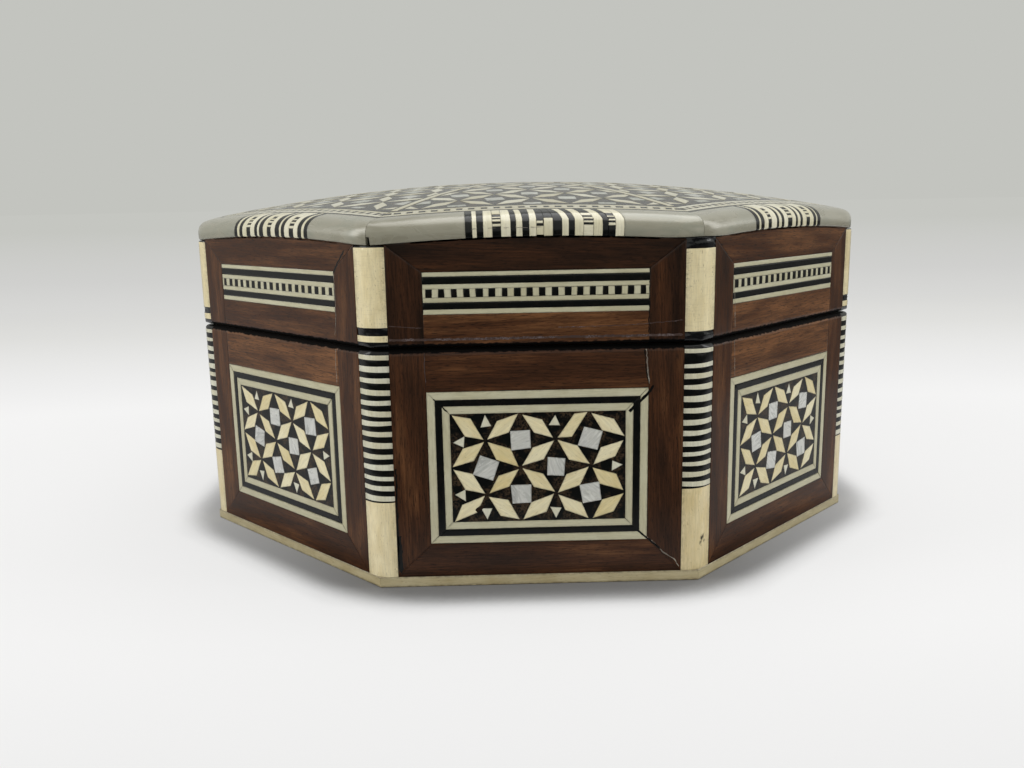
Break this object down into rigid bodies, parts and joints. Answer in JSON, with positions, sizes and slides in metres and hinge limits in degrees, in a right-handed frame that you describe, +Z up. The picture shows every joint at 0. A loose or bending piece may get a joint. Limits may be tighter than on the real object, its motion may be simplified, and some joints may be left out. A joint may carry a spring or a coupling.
{
  "type": "inlaid wooden box",
  "caption": "Octagonal wooden jewellery box with a low domed, hinged lid, inlaid with mother-of-pearl, bone and black mastic, and lined with velvet.",
  "frame": {"origin": "centre of the underside, on the surface that the box stands on", "axes": "+Z up, -Y towards the front face, so +Y is the hinged back, +X to the right as seen from the front"},
  "size_m": [0.1508, 0.1508, 0.0782],
  "materials": {
    "core_wood": "planed, unpolished",
    "veneer_wood": "dark reddish brown veneer, glossy lacquer",
    "bone": "polished bone, cream, with fine dark pits",
    "black_mastic": "hard black filler, polished with the inlay",
    "mother_of_pearl": "grey nacre, polished, with a soft shimmer",
    "velvet": "short pile velvet on card",
    "brass": "aged brass"
  },
  "bodies": {
    "body": {"body_wall_front": "core_wood", "body_wall_front_right": "core_wood", "body_wall_right": "core_wood", "body_wall_back_right": "core_wood", "body_wall_back": "core_wood", "body_wall_back_left": "core_wood", "body_wall_left": "core_wood", "body_wall_front_left": "core_wood", "base_board": "core_wood", "base_edging": "bone", "body_lower_rails": "veneer_wood", "body_stiles": "veneer_wood", "body_upper_rails": "veneer_wood", "panel_bone_lines": "bone", "panel_black_lines": "black_mastic", "panel_grounds": "black_mastic", "panel_lozenges": "bone", "panel_pearls": "mother_of_pearl", "panel_triangles": "bone", "post_foot_blocks": "bone", "post_bone_stripes": "bone", "post_black_stripes": "black_mastic", "body_lining": "velvet", "floor_pad": "velvet", "hinge_body_leaves": "brass", "hinge_pins": "brass", "hinge_body_nails": "brass"},
    "lid": {"lid_wall_front": "core_wood", "lid_wall_front_right": "core_wood", "lid_wall_right": "core_wood", "lid_wall_back_right": "core_wood", "lid_wall_back": "core_wood", "lid_wall_back_left": "core_wood", "lid_wall_left": "core_wood", "lid_wall_front_left": "core_wood", "lid_lower_rails": "veneer_wood", "lid_stiles": "veneer_wood", "lid_upper_rails": "veneer_wood", "band_bone_lines": "bone", "band_black_lines": "black_mastic", "band_black_checks": "black_mastic", "band_bone_checks": "bone", "lid_post_bones": "bone", "lid_post_fills": "black_mastic", "top_board": "core_wood", "rim_pearl": "mother_of_pearl", "rim_bone_stripes": "bone", "rim_black_stripes": "black_mastic", "border_black": "black_mastic", "border_bone": "bone", "top_ground": "black_mastic", "top_lozenges": "bone", "top_pearls": "mother_of_pearl", "top_lines": "bone", "lid_lining": "velvet", "lid_pad": "velvet", "hinge_lid_leaves": "brass", "hinge_lid_nails": "brass"}
  },
  "joints": [
    {"name": "lid_hinge", "type": "hinge", "parent": "body", "child": "lid", "pos_m": [0, 0.07425, 0.047], "axis": [-1, 0, 0], "range_deg": [0, 95]}
  ]
}
